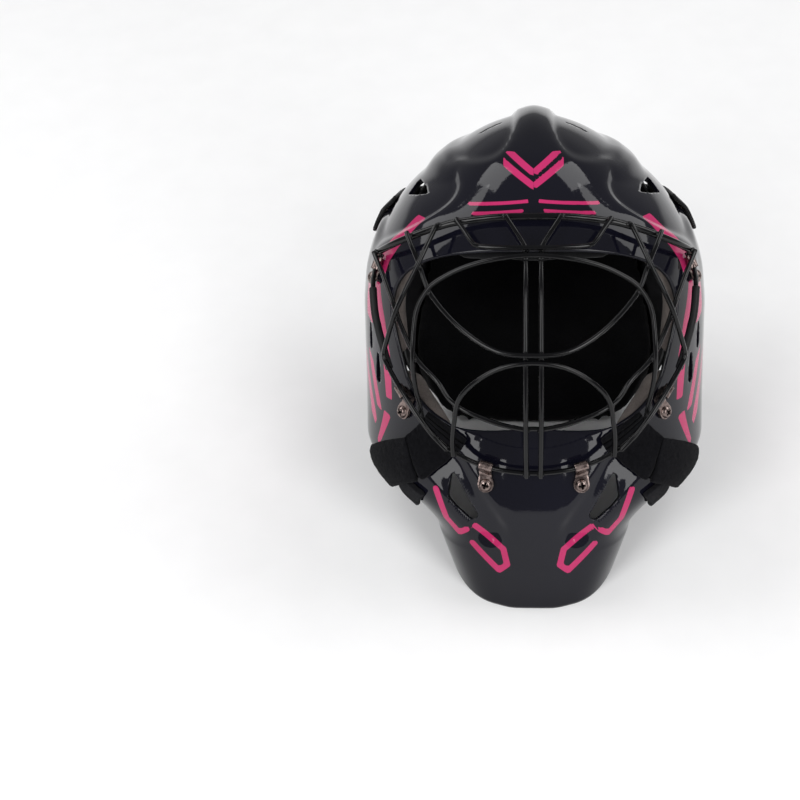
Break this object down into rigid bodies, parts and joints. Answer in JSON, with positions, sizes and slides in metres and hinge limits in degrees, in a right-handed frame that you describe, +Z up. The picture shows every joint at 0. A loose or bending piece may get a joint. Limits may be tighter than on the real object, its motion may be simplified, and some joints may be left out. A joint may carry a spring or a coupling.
{
  "type": "goalkeeper helmet with face cage",
  "caption": "Full-face goalkeeper helmet: glossy vented front shell, bent wire face cage, foam pads, strapped back plate and chin cup, resting on its lower rim.",
  "frame": {"origin": "under the middle of the helmet's box, on the plane that it rests on", "axes": "+X to the wearer's left, +Y to the back of the head, +Z up; the helmet stands on its lower rim, leaned back 25 degrees"},
  "size_m": [0.2382, 0.3063, 0.2529],
  "materials": {
    "shell_gloss": "gloss",
    "cage_wire": "gloss",
    "sleeve_vinyl": "satin",
    "foam": "matte",
    "zinc_steel": "satin",
    "black_plastic": "satin",
    "elastic": "matte",
    "foam_tape": "matte",
    "loop_strap": "matte"
  },
  "bodies": {
    "mask": {"front_shell": "shell_gloss", "brow_pad": "foam", "crown_pad": "foam", "temple_pad_left": "foam", "temple_pad_right": "foam", "cheek_pad_left": "foam", "cheek_pad_right": "foam", "cage_top_bar": "cage_wire", "cage_rim_left": "cage_wire", "cage_rim_right": "cage_wire", "cage_rim_bottom": "cage_wire", "cage_side_wire_left": "cage_wire", "cage_side_wire_right": "cage_wire", "cage_upper_loop": "cage_wire", "cage_lower_loop": "cage_wire", "cage_face_arch": "cage_wire", "cage_mouth_arch": "cage_wire", "cage_upright_bars": "cage_wire", "cage_brow_wire": "cage_wire", "rim_sleeve_left": "sleeve_vinyl", "rim_sleeve_right": "sleeve_vinyl", "clip_temple_left": "zinc_steel", "clip_temple_right": "zinc_steel", "clip_jaw_left": "zinc_steel", "clip_jaw_right": "zinc_steel", "clip_chin_left": "zinc_steel", "clip_chin_right": "zinc_steel", "clip_screws": "zinc_steel", "clip_nuts": "zinc_steel", "back_strap_upper_left": "elastic", "back_strap_upper_right": "elastic", "back_strap_lower_left": "elastic", "back_strap_lower_right": "elastic", "strap_slider_left": "black_plastic", "strap_slider_right": "black_plastic", "strap_rivets": "zinc_steel", "jaw_strap_left": "loop_strap", "jaw_strap_right": "loop_strap", "jaw_strap_fold_left": "foam_tape", "jaw_strap_fold_right": "foam_tape", "chin_strap_left": "loop_strap", "chin_strap_right": "loop_strap"},
    "back_plate": {"back_plate": "black_plastic", "back_plate_pad": "foam"},
    "chin_cup": {"chin_cup": "black_plastic", "chin_cup_liner": "foam"},
    "strap_tab_left": {"jaw_strap_tab_left": "loop_strap"},
    "strap_tab_right": {"jaw_strap_tab_right": "loop_strap"}
  },
  "joints": [
    {"name": "back_plate_stretch", "type": "slide", "parent": "mask", "child": "back_plate", "axis": [0, 1, 0], "range_m": [0, 0.03], "stiffness_N_per_m": 300, "deforming": ["back_strap_upper_left", "back_strap_upper_right", "back_strap_lower_left", "back_strap_lower_right"]},
    {"name": "chin_cup_float", "type": "slide", "parent": "mask", "child": "chin_cup", "axis": [0, 0, 1], "range_m": [-0.006, 0.006], "stiffness_N_per_m": 600, "deforming": ["chin_strap_left", "chin_strap_right"]},
    {"name": "jaw_tab_left", "type": "hinge", "parent": "mask", "child": "strap_tab_left", "pos_m": [0.08126, -0.10732, 0.09488], "axis": [-0.2855, -0.7309, -0.6198], "range_deg": [0, 60]},
    {"name": "jaw_tab_right", "type": "hinge", "parent": "mask", "child": "strap_tab_right", "pos_m": [-0.08126, -0.10732, 0.09488], "axis": [-0.2855, 0.7309, 0.6198], "range_deg": [0, 60]}
  ]
}
